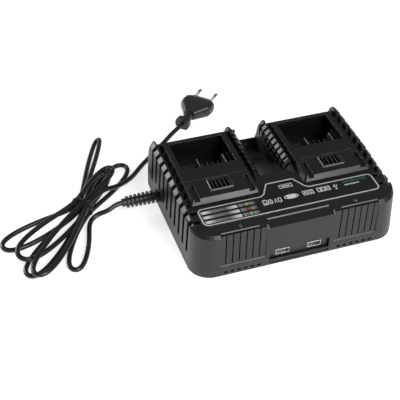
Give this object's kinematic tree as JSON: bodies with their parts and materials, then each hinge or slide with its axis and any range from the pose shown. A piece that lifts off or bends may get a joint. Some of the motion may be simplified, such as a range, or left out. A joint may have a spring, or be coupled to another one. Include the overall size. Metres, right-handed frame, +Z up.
{
  "type": "power tool battery charger",
  "caption": "Two-bay slide-pack battery charger with vented walls, status lamps, USB sockets, a tied mains cord and a flat two-pin plug.",
  "frame": {"origin": "centre of the case's footprint, on the surface it stands on", "axes": "+X right along the front, +Y to the back, +Z up"},
  "size_m": [0.3526, 0.27, 0.0536],
  "materials": {
    "black_case": "fine moulded texture, matte",
    "bay_plastic": "fine moulded texture, slight sheen",
    "label_film": "satin printed film",
    "silver_print": "silver print",
    "grey_print": "grey print",
    "green_lens": "clear moulded lens",
    "red_lens": "clear moulded lens",
    "clear_lens": "frosted lens",
    "socket_steel": "bright plated steel",
    "white_plastic": "smooth",
    "blade_brass": "plated",
    "board_green": "solder mask",
    "ferrite": "dull",
    "winding_tape": "tape",
    "copper": "enamelled wire",
    "dark_sleeve": "printed sleeve",
    "sink_metal": "extruded",
    "package_black": "moulded",
    "fuse_glass": "clear",
    "relay_blue": "moulded",
    "red_wire": "insulation",
    "blue_wire": "insulation",
    "foot_rubber": "matt rubber",
    "screw_steel": "zinc plated",
    "cord_jacket": "satin jacket",
    "tie_plastic": "coated wire",
    "plug_plastic": "moulded",
    "pin_nickel": "nickel plate"
  },
  "bodies": {
    "charger": {"upper_shell": "black_case", "lower_shell": "black_case", "rubber_feet": "foot_rubber", "case_screws": "screw_steel", "battery_bay_left": "bay_plastic", "battery_bay_right": "bay_plastic", "latch_pad_left": "bay_plastic", "latch_pad_right": "bay_plastic", "air_grille_left": "black_case", "air_grille_right": "black_case", "terminal_block_left": "bay_plastic", "terminal_block_right": "bay_plastic", "power_blades_left": "blade_brass", "power_blades_right": "blade_brass", "signal_contacts_left": "blade_brass", "signal_contacts_right": "blade_brass", "label_plate": "label_film", "label_outline": "silver_print", "status_bars": "grey_print", "ready_lenses": "green_lens", "charging_lens": "red_lens", "usb_lamp_domes": "clear_lens", "usb_bezel": "black_case", "usb_socket_left": "socket_steel", "usb_socket_right": "socket_steel", "usb_tongues": "white_plastic", "usb_board": "board_green", "lamp_board": "board_green", "lamp_chips": "white_plastic", "main_board": "board_green", "transformer_core": "ferrite", "transformer_winding": "winding_tape", "filter_choke": "copper", "bulk_capacitor": "dark_sleeve", "output_capacitors": "dark_sleeve", "heat_sinks": "sink_metal", "power_transistors": "package_black", "glass_fuse": "fuse_glass", "relays": "relay_blue", "bay_leads_left": "red_wire", "bay_leads_right": "red_wire", "mains_leads": "blue_wire", "fan_frame": "package_black", "fan_pin": "pin_nickel", "strain_relief": "cord_jacket", "cord_lead": "cord_jacket", "cord_hank": "cord_jacket", "cord_tail": "cord_jacket", "twist_tie": "tie_plastic", "plug_body": "plug_plastic", "plug_sleeves": "plug_plastic", "plug_pins": "pin_nickel"},
    "fan": {"fan_rotor": "package_black"}
  },
  "joints": [
    {"name": "fan_spin", "type": "hinge", "parent": "charger", "child": "fan", "pos_m": [-0.083, -0.019, 0.01771], "axis": [1, 0, 0], "continuous": true}
  ]
}
